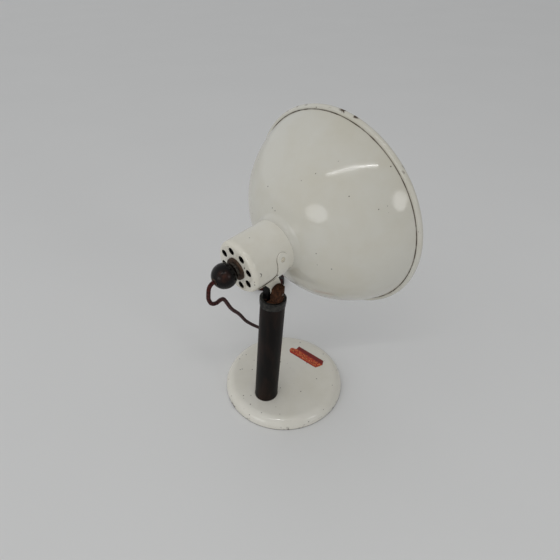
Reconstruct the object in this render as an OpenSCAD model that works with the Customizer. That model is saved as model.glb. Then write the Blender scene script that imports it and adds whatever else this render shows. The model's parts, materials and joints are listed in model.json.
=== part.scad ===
// Table heat lamp: weighted round base, leaning tube post, tilting head with a
// bowl shade and a ball handle. Millimetres, +Z up, +X is the way the shade faces.
// Origin: centre of the base, on the plane that it stands on.

/* [Base] */
// Outside diameter of the base
base_d = 180; // [150:1:220]
// Height of the base's top face
base_h = 16.5; // [16:0.5:24]
// Radius of the base's rounded shoulder
shoulder_r = 14; // [6:0.5:14]
// Sheet thickness of the base cover
cover_t = 1.5; // [1:0.1:2]
// Thickness of the felt pad
pad_t = 2; // [1.5:0.1:3]

/* [Post] */
// How far the post's foot stands behind the base's centre
post_back = 43.5; // [30:0.5:55]
// How far the post's foot stands to the right of the base's centre
post_side = 7; // [0:0.5:10]
// Forward lean of the post in degrees
post_lean = 5.3; // [0:0.1:8]
// Length of the post along its axis, from the base to the top of the collar
post_len = 176; // [145:1:215]
// Outside diameter of the post
post_d = 33.4; // [32:0.1:40]
// Wall thickness of the post
post_wall = 1.6; // [1:0.1:2]
// Thread diameter of the bolt that holds the post
bolt_d = 8; // [6:0.5:10]

/* [Collar and fork] */
// Height of the collar
collar_h = 11; // [9:0.5:16]
// Wall of the collar outside the post at its wide upper lip
lip_wall = 1.05; // [0.9:0.05:2]
// Thickness of the collar's top
collar_top = 1.5; // [1:0.1:2]
// Diameter of the fork above the collar
fork_d = 28; // [26:0.1:28.4]
// Radius of the fork's rounded cheeks
cheek_r = 11; // [9:0.5:12]
// Height of the pivot above the collar
pivot_up = 9; // [9:0.5:14]
// How far the pivot stands in front of the post's axis
pivot_x = 4; // [0:0.5:5]
// Diameter of the pivot pin
pin_d = 5; // [4:0.1:6]
// Width of the fork's slot
slot_w = 3.8; // [3.6:0.1:5]

/* [Yoke] */
// Sheet thickness of a yoke half's web
web_t = 1.2; // [1:0.05:1.3]
// Sheet thickness of the yoke's saddle
saddle_t = 1.4; // [1:0.1:1.6]
// Width of the thumb-shaped tabs
tab_w = 16; // [12:0.5:18]
// Distance from the pivot up to the head's axis
head_drop = 70; // [64:0.5:84]
// Distance along the head's axis from the housing's back to the pivot
pivot_s = 55; // [50:0.5:58]
// Upward tilt of the head in degrees, as stored
head_tilt = 4.9; // [0:0.1:20]
// Radius of the tongue's round end
tongue_r = 8.5; // [7:0.5:9.5]

/* [Housing] */
// Outside diameter of the housing
housing_d = 66; // [60:0.5:70]
// Length of the housing
housing_len = 59; // [57:0.5:66]
// Sheet thickness of the housing and the shade
sheet_t = 1.2; // [0.8:0.1:1.4]
// Radius of the housing's back edge
back_edge_r = 6; // [3:0.5:6]
// Number of vent holes
vents = 8; // [4:1:8]
// Diameter of a vent hole
vent_d = 9.3; // [6:0.1:9.3]
// Diameter of the circle that the vent holes lie on
vent_pcd = 44.6; // [43:0.1:44.6]
// Angle of the first vent hole in degrees
vent_turn = 12; // [0:1:44]

/* [Shade] */
// Outside radius of the sphere that the bowl is part of
bowl_r = 136; // [132:1:164]
// Radius of the rim at the middle of its rolled bead
rim_r = 131.5; // [110:0.5:131.5]
// Diameter of the rolled bead
bead_d = 7.6; // [6:0.1:9]
// Radius of the fillet between housing and bowl
neck_fillet = 9; // [6:0.5:11]
// How far the shade's neck reaches into the housing
neck_len = 25; // [22:0.5:28]

/* [Ball handle] */
// Diameter of the ball
ball_d = 30; // [25:0.5:36]
// Diameter of the flat on the ball's front
ball_flat_d = 18.8; // [17.5:0.1:20]
// Diameter of the brown fibre disc
disc_d = 27.5; // [24:0.5:33]
// Thickness of the fibre disc
disc_t = 2.2; // [1:0.1:3]
// Diameter of the round nut between disc and ball
nut_d = 17; // [14:0.5:17]
// Thickness of that nut
nut_t = 3.3; // [2:0.1:5]
// Outside diameter of the threaded tube
nipple_d = 10; // [9:0.5:11]

/* [Lamp] */
// Diameter of the lamp's glass
glass_d = 80; // [66:1:96]
// Distance from the housing's back to the middle of the lamp's round glass
glass_s = 115; // [108:1:118]
// Diameter of the porcelain holder's barrel
holder_d = 39; // [36:0.5:42]
// Bore of the screw shell
shell_d = 27; // [26.5:0.1:27.5]

/* [Label] */
// Length of the sticker
label_len = 62; // [30:1:70]
// Width of the sticker
label_w = 21; // [10:1:24]
// Turn of the sticker in degrees
label_turn = -85; // [-100:1:100]

/* [Cord] */
// Diameter of the cord
cord_d = 5; // [4:0.1:6]
// Radius of the coil at the middle of its turns
coil_r = 27.5; // [25:0.5:33]
// Width of the plug
plug_w = 36; // [30:1:40]
// Thickness of the plug
plug_t = 16; // [14:0.5:20]
// Length of the plug's body
plug_len = 34; // [30:1:40]
// Diameter of a plug pin
plug_pin_d = 4.8; // [4:0.1:4.8]
// Length of a plug pin in front of the body
plug_pin_len = 19; // [16:0.5:20]

/* [Hidden] */
$fn = 96;

fit = 0.05;         // radial clearance of a shaft in its bore
slip = 0.1;         // clearance between sheet parts that slide together
loose = 0.3;        // radial clearance of a bolt in its hole

// base
edge_z = 0.5;       // height of the cover's edge over the table
edge_wall_z = base_h - shoulder_r;      // where the shoulder's round begins
cover_in_r = base_d / 2 - cover_t;
cover_in_z = base_h - cover_t;
weight_r = cover_in_r - 2.5;
weight_wall = 5;    // height of the weight's upright edge
weight_slope = shoulder_r - 2;
bolt_head_t = 5.3;
bolt_af = 13;
washer_t = 1.6;
bolt_head_z = pad_t + 0.1;
bolt_seat_z = bolt_head_z + bolt_head_t + washer_t;
bolt_in_plug = 12;  // how far the bolt enters the plug
plug_h = 22;        // height of the post's plug
label_t = 0.2;
label_at = [52.5, 2];

// post, collar and fork
post_r = post_d / 2;
post_in_r = post_r - post_wall;
tube_top = post_len - collar_top;
band_wall = lip_wall - 0.5;     // the collar's lower band
lip_h = 6.5;
groove_h = 0.9;
fork_r = fork_d / 2;
fork_in_tube = 24;
pivot_h = post_len + pivot_up;  // along the post
slot_low = 4.5;                 // slot's floor below the tongue's round end
pin_r = pin_d / 2;
pin_len = 2 * sqrt(pow(fork_r, 2) - pow(pivot_x + pin_r, 2));
washer_r = 7;
washer_in = web_t + fit;
washer_out = slot_w / 2 - fit;

// yoke
saddle_in_r = housing_d / 2 + slip;
saddle_out_r = saddle_in_r + saddle_t;
tab_s = 41.5;       // rivet's place along the head's axis
tab_v = 6;          // rivet's height over the head's axis
tab_turn = asin(tab_v / saddle_out_r);
rivet_r = 1.6;
rivet_head_r = 3.1;
rivet_head_t = 1.2;
rivet_inner_r = 2.6;

// housing and shade
housing_r = housing_d / 2;
neck_r = housing_r - sheet_t - slip;
step_s = housing_len + slip;
fillet_at = [housing_r + neck_fillet, step_s];
bowl_s = step_s + sqrt(pow(bowl_r + neck_fillet, 2) - pow(fillet_at[0], 2));
bead_r = bead_d / 2;
wire_r = bead_r - sheet_t - slip;
// the bead's middle lies a little outside the sheet's outer face
bead_s = bowl_s - sqrt(pow(bowl_r + 0.5, 2) - pow(rim_r, 2));

// ball handle
nipple_r = nipple_d / 2;
nipple_bore_r = nipple_r - 1.5;
ball_r = ball_d / 2;
nut_s = -disc_t;
ball_front = nut_s - nut_t;
ball_s = ball_front - sqrt(pow(ball_r, 2) - pow(ball_flat_d / 2, 2));
bush_r = 4.5;
bush_back = ball_s - sqrt(pow(ball_r, 2) - pow(bush_r, 2));
bush_len = 5;
nipple_back = ball_front - 14;
cord_r = cord_d / 2;

// lamp holder
bracket_t = 1.5;
bracket_w = 12;
bracket_y = 16;     // outer face of a bracket leg
foot_y = 19;        // bracket screw
nut_front = sheet_t + bracket_t + 3.5;
nipple_front = nut_front + 2.8;
tail_end = 0.5;     // how far the flex stands out of the threaded tube
flange_s = 13;
flange_r = 22;
barrel_s = 20;
holder_r = holder_d / 2;
holder_front = 50;
well_s = 21;
shell_t = 0.5;
well_r = shell_d / 2 + shell_t + slip;
screw_r = 1.5;
terminal_y = 10;
terminal_head_r = 2.6;

// lamp
cap_r = shell_d / 2 - 0.2;
cap_s = well_s + 3;
cap_end = 52;
cap_t = 0.5;
glass_r = glass_d / 2;
glass_t = 0.8;
glass_neck_r = 16.5;
stem_s = 88;
filament_s = 108;

// cord
bottom = cord_r;    // height of the cord's middle where it lies on the table
coil_at = [156, 212];
coil_half = 7.5;    // half the width of the coil's section
coil_h = 15;
coil_corner = 3;
tie_turn = -60;
tie_t = 0.8;
tie_w = 7;
plug_turn = 45;
plug_back = 20;     // plug's back face behind the coil's middle
plug_pin_gap = 19;
pin_tip = 1;        // height and depth of the bevel on a pin's tip
pin_step = 0.4;     // how much thinner a pin is inside the plug
ring_step = 12;     // distance between the rings of a cord's tube
ring_sides = 8;
// steps from the ball's outlet to where the cord hangs clear, chosen by hand
drop = [
    [0, 0, 0], [-4, 0, -1], [-7.5, 0, -4.5], [-9, 0, -11], [-9, 1, -20], [-6, 1, -28], [1, 2, -32],
    [8, 6, -35], [15, 10, -39], [21, 13, -46]
];
// the rest of the way to the coil, chosen by hand
run = [
    [-78, 16, 188], [-55, 31, 155], [-32, 47, 118], [-10, 59, 88], [12, 71, 60], [30, 82, 36],
    [44, 90, 20], [57, 100, 8], [70, 109, 2.5], [84, 120, 2.5], [100, 132, 2.5], [134, 156, 2.5],
    [150, 169, 2.5], [163, 180, 2.5]
];
// from the coil's top to the plug, in the plug's own frame, chosen by hand
tail = [
    [13.5, 24, 12.5], [5, 26.5, 13.5], [-4, 27, 15.5], [-13, 27.5, 18], [-22, 26, 19.5], [-30, 20.5, 21.5],
    [-33.5, 12.5, 23], [-31, 5, 23], [-26, 1, 23], [-20, 0, 23]
];

// ---- frames ----

function post_point(x, along) = [
    -post_back + x * cos(post_lean) + along * sin(post_lean), -post_side,
    base_h + along * cos(post_lean) - x * sin(post_lean)
];
function head_point(s, v) = post_point(pivot_x, pivot_h) + [
    (s - pivot_s) * cos(head_tilt) - (v + head_drop) * sin(head_tilt), 0,
    (s - pivot_s) * sin(head_tilt) + (v + head_drop) * cos(head_tilt)
];

// The post's frame: Z along the post from the top of the base
module post_frame() {
    translate(post_point(0, 0)) rotate([0, post_lean, 0]) children();
}

// The head's frame: X along its axis from the back of the housing, Z up across it
module head_frame() {
    translate(head_point(0, 0)) rotate([0, -head_tilt, 0]) children();
}

module at_post_foot() {
    translate([-post_back, -post_side, 0]) children();
}

module above_base() {
    intersection() {
        children();
        translate([-base_d, -base_d, base_h]) cube([2 * base_d, 2 * base_d, 2 * post_len]);
    }
}

// ---- shapes used by several parts ----

// Turns an outline of (radius, station) points about the head's axis
module turned() {
    rotate([0, 90, 0]) rotate([0, 0, 90]) rotate_extrude() children();
}

module rod(r, from, to) {
    translate([from, 0, 0]) rotate([0, 90, 0]) cylinder(r = r, h = to - from);
}

module tube(r_out, r_in, from, to) {
    difference() {
        rod(r_out, from, to);
        rod(r_in, from - 1, to + 1);
    }
}

module hex_nut(across, bore_r, from, to) {
    difference() {
        translate([from, 0, 0]) rotate([0, 90, 0]) cylinder(d = across / cos(30), h = to - from, $fn = 6);
        rod(bore_r, from - 1, to + 1);
    }
}

module bar(a, b, r) {
    v = b - a;
    translate(a) rotate([0, acos(v[2] / norm(v)), atan2(v[1], v[0])]) cylinder(r = r, h = norm(v), $fn = 24);
}

// ---- base ----

module cover_outline(r, top, edge) {
    square([r - edge, top]);
    square([r, top - edge]);
    translate([r - edge, top - edge]) intersection() {
        circle(edge);
        square(edge);
    }
}

module base_cover() {
    color("#d8d2bf") difference() {
        rotate_extrude() difference() {
            cover_outline(base_d / 2, base_h, shoulder_r);
            cover_outline(cover_in_r, cover_in_z, shoulder_r - cover_t);
            square([base_d, edge_z]);
        }
        at_post_foot() cylinder(r = bolt_d / 2 + loose, h = base_h + 1);
    }
}

module base_weight() {
    top_r = weight_r - weight_slope;
    color("#3d3b39") difference() {
        rotate_extrude() polygon([
            [0, pad_t], [weight_r, pad_t], [weight_r, pad_t + weight_wall], [top_r, cover_in_z], [0, cover_in_z]
        ]);
        at_post_foot() {
            translate([0, 0, pad_t - 1]) cylinder(r = bolt_d * 1.25, h = bolt_seat_z - pad_t + 1);
            cylinder(r = bolt_d / 2 + loose, h = base_h + 1);
        }
    }
}

module base_felt() {
    color("#4b5a48") cylinder(r = weight_r - 2, h = pad_t);
}

module base_bolt() {
    color("#8c8c88") at_post_foot() translate([0, 0, bolt_head_z]) {
        cylinder(d = bolt_af / cos(30), h = bolt_head_t, $fn = 6);
        cylinder(d = bolt_d, h = base_h + bolt_in_plug - bolt_head_z);
    }
}

module base_washer() {
    color("#8c8c88") at_post_foot() translate([0, 0, bolt_seat_z - washer_t]) difference() {
        cylinder(r = bolt_d * 1.125, h = washer_t);
        translate([0, 0, -1]) cylinder(r = bolt_d / 2 + loose, h = washer_t + 2);
    }
}

// A sticker with torn ends
module base_label() {
    l = label_len / 2;
    w = label_w / 2;
    color("#9e2b22") translate([label_at[0], label_at[1], base_h]) rotate([0, 0, label_turn])
        linear_extrude(label_t) polygon([
            [-l, -0.25 * w], [-l + 1, -0.65 * w], [-l + 5, -w], [l - 11, -0.9 * w], [l - 5, -0.85 * w],
            [l - 2, -0.3 * w], [l, 0.25 * w], [l - 4, w], [-l + 8, 0.9 * w], [-l + 8.5, 0.15 * w], [-l + 2, 0]
        ]);
}

// ---- post ----

module post_tube() {
    color("#1c1917") above_base() post_frame() translate([0, 0, -5]) difference() {
        cylinder(r = post_r, h = tube_top + 5);
        translate([0, 0, -1]) cylinder(r = post_in_r, h = tube_top + 7);
    }
}

module post_plug() {
    color("#8c8c88") difference() {
        above_base() post_frame() translate([0, 0, -5]) cylinder(r = post_in_r - slip, h = plug_h + 5);
        at_post_foot() cylinder(r = bolt_d / 2 + fit, h = base_h + bolt_in_plug + 2);
    }
}

module collar() {
    lip_low = collar_h - lip_h;
    color("#4a4a48") post_frame() translate([0, 0, post_len - collar_h]) rotate_extrude() difference() {
        union() {
            square([post_r + band_wall, collar_h]);
            translate([0, lip_low]) square([post_r + lip_wall, lip_h]);
        }
        translate([post_r + band_wall - 0.25, lip_low - groove_h]) square([1, groove_h]);
        translate([post_r + lip_wall - 0.25, collar_h - 2]) square([1, groove_h / 2]);
        translate([0, -1]) square([post_r + slip, collar_h - collar_top + 1]);
        square([fork_r + slip, collar_h + 1]);
    }
}

// The fork seen from the side: a round cheek on an upright block
module cheek_side() {
    translate([pivot_x, pivot_h]) circle(cheek_r);
    translate([pivot_x - cheek_r, tube_top]) square([2 * cheek_r, pivot_h - tube_top]);
}

module fork() {
    slot_floor = pivot_h - tongue_r - slot_low;
    color("#33241c") post_frame() difference() {
        union() {
            translate([0, 0, tube_top - fork_in_tube]) cylinder(r = post_in_r - slip, h = fork_in_tube - slip);
            translate([0, 0, tube_top - 1]) cylinder(r = fork_r, h = collar_top + 1);
            intersection() {
                translate([0, 0, tube_top - 1]) cylinder(r = fork_r, h = 3 * cheek_r);
                translate([0, fork_r, 0]) rotate([90, 0, 0]) linear_extrude(fork_d) cheek_side();
            }
        }
        translate([-fork_r - 1, -slot_w / 2, slot_floor]) cube([fork_d + 2, slot_w, 4 * cheek_r]);
        translate([pivot_x, fork_r + 1, pivot_h]) rotate([90, 0, 0]) cylinder(r = pin_r + 0.02, h = fork_d + 2);
    }
}

module pivot_pin() {
    color("#55524e") post_frame() translate([pivot_x, pin_len / 2, pivot_h]) rotate([90, 0, 0])
        cylinder(r = pin_r, h = pin_len);
}

module friction_washers() {
    color("#7c5a33") post_frame() translate([pivot_x, 0, pivot_h]) for (side = [-1, 1])
        translate([0, side * (washer_in + washer_out) / 2, 0]) rotate([90, 0, 0]) difference() {
            cylinder(r = washer_r, h = washer_out - washer_in, center = true);
            cylinder(r = pin_r + slip, h = slot_w, center = true);
        }
}

// ---- yoke ----

// A saddle half seen from the side: a thumb-shaped tab on a skirt that sweeps backwards
module saddle_side() {
    back = tab_s - tab_w / 2;
    front = tab_s + tab_w / 2;
    low = -saddle_out_r - 1;
    sweep_r = 10;
    translate([tab_s, tab_v]) circle(tab_w / 2);
    polygon([[back, tab_v], [front, tab_v], [front + 1, low], [back, low]]);
    difference() {
        polygon([
            [back, -sweep_r], [back, low], [12, low], [12, -27], [back - sweep_r, -2 * sweep_r],
            [back - sweep_r, -sweep_r]
        ]);
        translate([back - sweep_r, -sweep_r]) circle(sweep_r);
    }
}

// The web seen from the side: it narrows from the skirt down to the tongue
module web_side() {
    drop_v = -head_drop;
    top_v = -saddle_in_r - saddle_t / 2;
    polygon([
        [pivot_s - 39, top_v], [pivot_s - 1, top_v], [pivot_s + 5.5, drop_v + 19], [pivot_s + 8, drop_v + 10],
        [pivot_s + tongue_r, drop_v], [pivot_s - tongue_r, drop_v], [pivot_s - tongue_r, drop_v + 8],
        [pivot_s - 16.5, drop_v + 19.5]
    ]);
    translate([pivot_s, drop_v]) circle(tongue_r);
}

// side is 1 for the left half and -1 for the right half
module yoke_half(side) {
    mirror([0, side > 0 ? 0 : 1, 0]) difference() {
        union() {
            intersection() {
                tube(saddle_out_r, saddle_in_r, 0, housing_len);
                translate([0, saddle_out_r + 1, 0]) rotate([90, 0, 0]) linear_extrude(saddle_out_r + 1)
                    saddle_side();
            }
            translate([0, web_t, 0]) rotate([90, 0, 0]) linear_extrude(web_t) web_side();
        }
        rod(saddle_in_r, -1, housing_len + 1);
        translate([pivot_s, web_t + 1, -head_drop]) rotate([90, 0, 0]) cylinder(r = pin_r + fit, h = web_t + 2);
        at_rivet() cylinder(r = rivet_r + fit, h = saddle_out_r + 2);
    }
}

module yoke_left() {
    color("#d5cfbd") head_frame() yoke_half(1);
}

module yoke_right() {
    color("#d5cfbd") head_frame() yoke_half(-1);
}

// Z points out of the head's left side through the rivet
module at_rivet() {
    translate([tab_s, 0, 0]) rotate([tab_turn - 90, 0, 0]) children();
}

module rivet_holes() {
    for (side = [0, 1]) mirror([0, side, 0]) at_rivet() cylinder(r = rivet_r + fit, h = saddle_out_r + 2);
}

module yoke_rivets() {
    inner = sqrt(pow(neck_r - sheet_t, 2) - pow(rivet_inner_r, 2)) - fit;
    outer = saddle_out_r + 0.02;
    dome_r = (pow(rivet_head_r, 2) + pow(rivet_head_t, 2)) / (2 * rivet_head_t);
    color("#c9c2ae") head_frame() for (side = [0, 1]) mirror([0, side, 0]) at_rivet() {
        translate([0, 0, inner - 0.8]) cylinder(r = rivet_inner_r, h = 0.8);
        translate([0, 0, inner - 0.4]) cylinder(r = rivet_r, h = outer - inner + 0.8);
        intersection() {
            translate([0, 0, outer]) cylinder(r = rivet_head_r, h = rivet_head_t);
            translate([0, 0, outer + rivet_head_t - dome_r]) sphere(dome_r);
        }
    }
}

// ---- housing and shade ----

module cup_outline(r, long, edge) {
    translate([0, edge]) square([r, long - edge]);
    square([r - edge, long]);
    translate([r - edge, edge]) intersection() {
        circle(edge);
        translate([0, -edge]) square(edge);
    }
}

module housing() {
    color("#d5cfbd") head_frame() difference() {
        turned() difference() {
            cup_outline(housing_r, housing_len, back_edge_r);
            translate([0, sheet_t]) cup_outline(housing_r - sheet_t, housing_len, back_edge_r - sheet_t);
        }
        rod(nipple_r + 0.2, -1, sheet_t + 1);
        for (i = [0 : vents - 1])
            rotate([180 - vent_turn - i * 360 / vents, 0, 0]) translate([0, vent_pcd / 2, 0])
                rod(vent_d / 2, -1, sheet_t + 1);
        rivet_holes();
    }
}

// The part of a round sheet, about the outline's origin, that lies inside a wedge
module sheet_arc(r_out, r_in, wedge) {
    intersection() {
        difference() {
            circle(r_out, $fn = 200);
            circle(r_in, $fn = 200);
        }
        polygon(wedge);
    }
}

module shade_outline() {
    to_bowl = [-fillet_at[0], bowl_s - step_s];
    bowl_start = [fillet_at[0], step_s - bowl_s];
    bowl_end = [rim_r, bead_s - bowl_s];
    translate([neck_r - sheet_t, housing_len - neck_len]) square([sheet_t, neck_len + 1]);
    translate([neck_r - sheet_t, step_s]) square([housing_r - neck_r + sheet_t, sheet_t]);
    translate(fillet_at) sheet_arc(neck_fillet + sheet_t, neck_fillet, [[0, 0], [-90, 0], to_bowl]);
    difference() {
        union() {
            translate([0, bowl_s]) sheet_arc(bowl_r, bowl_r - sheet_t, [
                [0, 0], 1.4 * bowl_start, [bowl_r, -1.4 * bowl_r], 1.4 * bowl_end
            ]);
            translate([rim_r, bead_s]) circle(bead_r);
        }
        translate([rim_r, bead_s]) circle(bead_r - sheet_t);
    }
}

module reflector() {
    color("#d5cfbd") head_frame() difference() {
        turned() shade_outline();
        rivet_holes();
    }
}

module rim_wire() {
    color("#6e6b66") head_frame() turned() translate([rim_r, bead_s]) circle(wire_r);
}

// ---- ball handle ----

module fibre_disc() {
    color("#44352b") head_frame() tube(disc_d / 2, nipple_r + fit, nut_s, 0);
}

module round_nut() {
    color("#6d6d69") head_frame() tube(nut_d / 2, nipple_r + fit, ball_front, nut_s);
}

module nipple() {
    color("#8c8c88") head_frame() tube(nipple_r, nipple_bore_r, nipple_back, nipple_front);
}

module lock_nut() {
    color("#8c8c88") head_frame() hex_nut(nipple_d * 1.5, nipple_r + fit, sheet_t + bracket_t, nut_front);
}

module ball_handle() {
    color("#15110f") head_frame() difference() {
        translate([ball_s, 0, 0]) rotate([0, 90, 0]) sphere(ball_r);
        rod(ball_r, ball_front, ball_front + ball_r);
        rod(nipple_r + fit, nipple_back - 0.5, ball_front + 1);
        rod(cord_r + 0.5, ball_s - ball_r - 1, ball_front);
        rod(bush_r, ball_s - ball_r - 1, bush_back + bush_len);
    }
}

module cord_bush() {
    color("#5b4632") head_frame() tube(bush_r - fit, cord_r + slip, bush_back, bush_back + bush_len);
}

module flex_tail() {
    color("#5c2320") head_frame() rod(cord_r, bush_back, nipple_front + tail_end);
}

module lead_wires() {
    lead_r = 0.9;
    start = nipple_front + tail_end;
    bend_s = start + lead_r + slip;
    color("#7d2c26") head_frame() for (side = [-1, 1]) {
        bar([start, side * 1.3, 0], [bend_s, side * 1.3, 0], lead_r);
        translate([bend_s, side * 1.3, 0]) sphere(lead_r, $fn = 24);
        bar([bend_s, side * 1.3, 0], [bend_s, side * (terminal_y - terminal_head_r - slip), 0], lead_r);
    }
}

// ---- lamp holder ----

module holder_bracket() {
    color("#8c8c88") head_frame() difference() {
        translate([0, bracket_w / 2, 0]) rotate([90, 0, 0]) linear_extrude(bracket_w) polygon_strip();
        rod(nipple_r + 0.2, 0, flange_s);
        for (side = [-1, 1]) translate([0, 0, side * foot_y]) rod(screw_r + fit, 0, flange_s + 1);
    }
}

// The bracket's bent strip: base, two legs and two feet
module polygon_strip() {
    t = bracket_t;
    foot = foot_y + 4;
    polygon([
        [sheet_t, -bracket_y], [flange_s - t, -bracket_y], [flange_s - t, -foot], [flange_s, -foot],
        [flange_s, t - bracket_y], [sheet_t + t, t - bracket_y], [sheet_t + t, bracket_y - t],
        [flange_s, bracket_y - t], [flange_s, foot], [flange_s - t, foot], [flange_s - t, bracket_y],
        [sheet_t, bracket_y]
    ]);
}

module bracket_screws() {
    head = flange_s - bracket_t;
    color("#a8a6a0") head_frame() for (side = [-1, 1]) translate([0, 0, side * foot_y]) {
        rod(screw_r, head - 1, barrel_s - 1);
        rod(screw_r * 1.8, head - 2, head);
    }
}

module holder_body() {
    color("#e4e0d4") head_frame() difference() {
        turned() difference() {
            union() {
                translate([0, flange_s]) square([flange_r, barrel_s - flange_s]);
                translate([0, barrel_s]) square([holder_r, holder_front - barrel_s]);
            }
            translate([0, well_s]) square([well_r, holder_front]);
        }
        for (side = [-1, 1]) {
            translate([0, 0, side * foot_y]) rod(screw_r + fit, 0, barrel_s - 0.5);
            translate([0, side * terminal_y, 0]) rod(screw_r + fit, 0, well_s - 2);
        }
    }
}

module screw_shell() {
    color("#b08f4c") head_frame() tube(well_r - slip, shell_d / 2, well_s, holder_front - 1);
}

module centre_contact() {
    color("#b08f4c") head_frame() {
        rod(4, well_s, well_s + 0.6);
        rod(1.5, well_s + 0.5, well_s + 1.2);
    }
}

module terminal_screws() {
    color("#b08f4c") head_frame() for (side = [-1, 1]) translate([0, side * terminal_y, 0]) {
        rod(screw_r, flange_s - 1, well_s - 2.5);
        rod(terminal_head_r, flange_s - 2.2, flange_s);
    }
}

// ---- lamp ----

module lamp_cap() {
    color("#a89a73") head_frame() {
        rod(4, well_s + 1.2, cap_s + 0.5);
        turned() difference() {
            translate([0, cap_s]) square([cap_r, cap_end - cap_s]);
            translate([0, cap_s + 1]) square([cap_r - cap_t, cap_end]);
        }
    }
}

// The lamp's round glass and its neck, made smaller all over by shrink
module glass_outline(shrink) {
    r = glass_r - shrink;
    join = 40;
    translate([0, glass_s]) intersection() {
        circle(r);
        translate([0, -r]) square([r, 2 * r]);
    }
    polygon([
        [0, cap_end - 2 - shrink], [cap_r - cap_t - 0.2 - shrink, cap_end - 2 - shrink],
        [cap_r - cap_t - 0.2 - shrink, cap_end + 4], [glass_neck_r - shrink, cap_end + 12],
        [glass_neck_r - shrink, cap_end + 20], [r * cos(join), glass_s - r * sin(join)], [0, glass_s]
    ]);
}

module lamp_glass() {
    color("#c9d3d0", 0.4) head_frame() turned() difference() {
        glass_outline(0);
        glass_outline(glass_t);
    }
}

module lamp_stem() {
    color("#c9d3d0", 0.6) head_frame() {
        rod(cap_r - cap_t - 0.4 - glass_t, cap_end - 1.8, cap_end - 0.6);
        rod(3, cap_end - 1, stem_s);
    }
}

module lamp_filament() {
    color("#8a8780") head_frame() {
        bar([filament_s, -16, 0], [filament_s, 16, 0], 1);
        for (side = [-1, 1]) bar([stem_s + 0.5, side * 1.5, 0], [filament_s, side * 14, 0], 0.6);
    }
}

// ---- cord ----

function along(a, b, c, d, t) = 0.5 * (
    2 * b + (c - a) * t + (2 * a - 5 * b + 4 * c - d) * t * t + (3 * b - a - 3 * c + d) * t * t * t
);
function steps(a, b) = max(1, ceil(norm(b - a) / ring_step));
function lift(p) = [p[0], p[1], max(p[2], bottom)];
// A smooth line through all the points of a route
function smooth(p) = let (n = len(p) - 1) concat([
    for (i = [0 : n - 1]) let (k = steps(p[i], p[i + 1])) for (j = [0 : k - 1])
        lift(along(p[max(i - 1, 0)], p[i], p[i + 1], p[min(i + 2, n)], j / k))
], [p[n]]);
function unit(v) = v / norm(v);
function heading(q, i, first, last) =
    i == 0 ? first : i == len(q) - 1 ? last : unit(q[i + 1] - q[i - 1]);

// A tube through the points q, with its end faces square to first and last
module cord_sweep(q, first, last, across) {
    n = len(q);
    rings = [for (i = [0 : n - 1])
        let (t = heading(q, i, first, last), u = unit(cross(t, across)), w = cross(t, u))
        for (k = [0 : ring_sides - 1]) let (a = 360 * (k + 0.5) / ring_sides)
            q[i] + cord_r * (cos(a) * u + sin(a) * w)
    ];
    sides = [for (i = [0 : n - 2], k = [0 : ring_sides - 1])
        let (b = i * ring_sides, c = b + ring_sides, m = (k + 1) % ring_sides)
        each [[b + k, b + m, c + m], [b + k, c + m, c + k]]
    ];
    ends = [
        [for (k = [0 : ring_sides - 1]) ring_sides - 1 - k],
        [for (k = [0 : ring_sides - 1]) (n - 1) * ring_sides + k]
    ];
    polyhedron(rings, concat(sides, ends));
}

cord_out = head_point(bush_back, 0);
out_way = [-cos(head_tilt), 0, -sin(head_tilt)];
route = concat([for (step = drop) cord_out + step], run);

module cord_tube() {
    q = smooth(route);
    color("#56201e") cord_sweep(q, out_way, unit(q[len(q) - 1] - q[len(q) - 2]), [-0.6, 0.8, 0]);
}

module coil_section(grow) {
    translate([coil_r - coil_half - grow, 0]) intersection() {
        square([2 * (coil_half + grow), coil_h + grow]);
        union() {
            square([2 * (coil_half + grow), coil_h + grow - coil_corner]);
            translate([coil_corner, 0]) square([2 * (coil_half + grow - coil_corner), coil_h + grow]);
            for (x = [coil_corner, 2 * (coil_half + grow) - coil_corner])
                translate([x, coil_h + grow - coil_corner]) circle(coil_corner);
        }
    }
}

module cord_coil() {
    color("#56201e") translate(coil_at) rotate_extrude() coil_section(0);
}

module cord_tie() {
    color("#2a2522") translate(coil_at) rotate([0, 0, tie_turn]) intersection() {
        difference() {
            rotate_extrude() coil_section(tie_t);
            rotate_extrude() coil_section(fit);
        }
        translate([0, -tie_w / 2, 0]) cube([2 * coil_r, tie_w, 2 * coil_h]);
    }
}

// The plug's frame: X from its back to its pins, over the middle of the coil
module plug_frame() {
    translate(coil_at) rotate([0, 0, plug_turn]) children();
}

module cord_end() {
    color("#56201e") plug_frame() cord_sweep(smooth(tail), unit(tail[1] - tail[0]), [1, 0, 0], [0, 0, 1]);
}

// The plug seen from above
module plug_outline(inset) {
    w = plug_w / 2 - inset;
    back = 8 - inset;
    front = plug_len - plug_back - inset;
    polygon([
        [inset - plug_back, -back], [inset - plug_back + 6, -back], [inset - plug_back + 16, -w],
        [front - 3, -w], [front, 3 - w], [front, w - 3], [front - 3, w], [inset - plug_back + 16, w],
        [inset - plug_back + 6, back], [inset - plug_back, back]
    ]);
}

module plug_body() {
    color("#241f1c") plug_frame() translate([0, 0, coil_h]) difference() {
        union() {
            linear_extrude(plug_t) plug_outline(1.5);
            translate([0, 0, 1.5]) linear_extrude(plug_t - 3) plug_outline(0);
        }
        translate([0, 0, plug_t - 4]) cylinder(r = 3.6, h = 5);
        for (side = [-1, 1]) translate([0, side * plug_pin_gap / 2, plug_t / 2])
            rod(plug_pin_d / 2 - pin_step + fit, 0, plug_len);
    }
}

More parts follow.
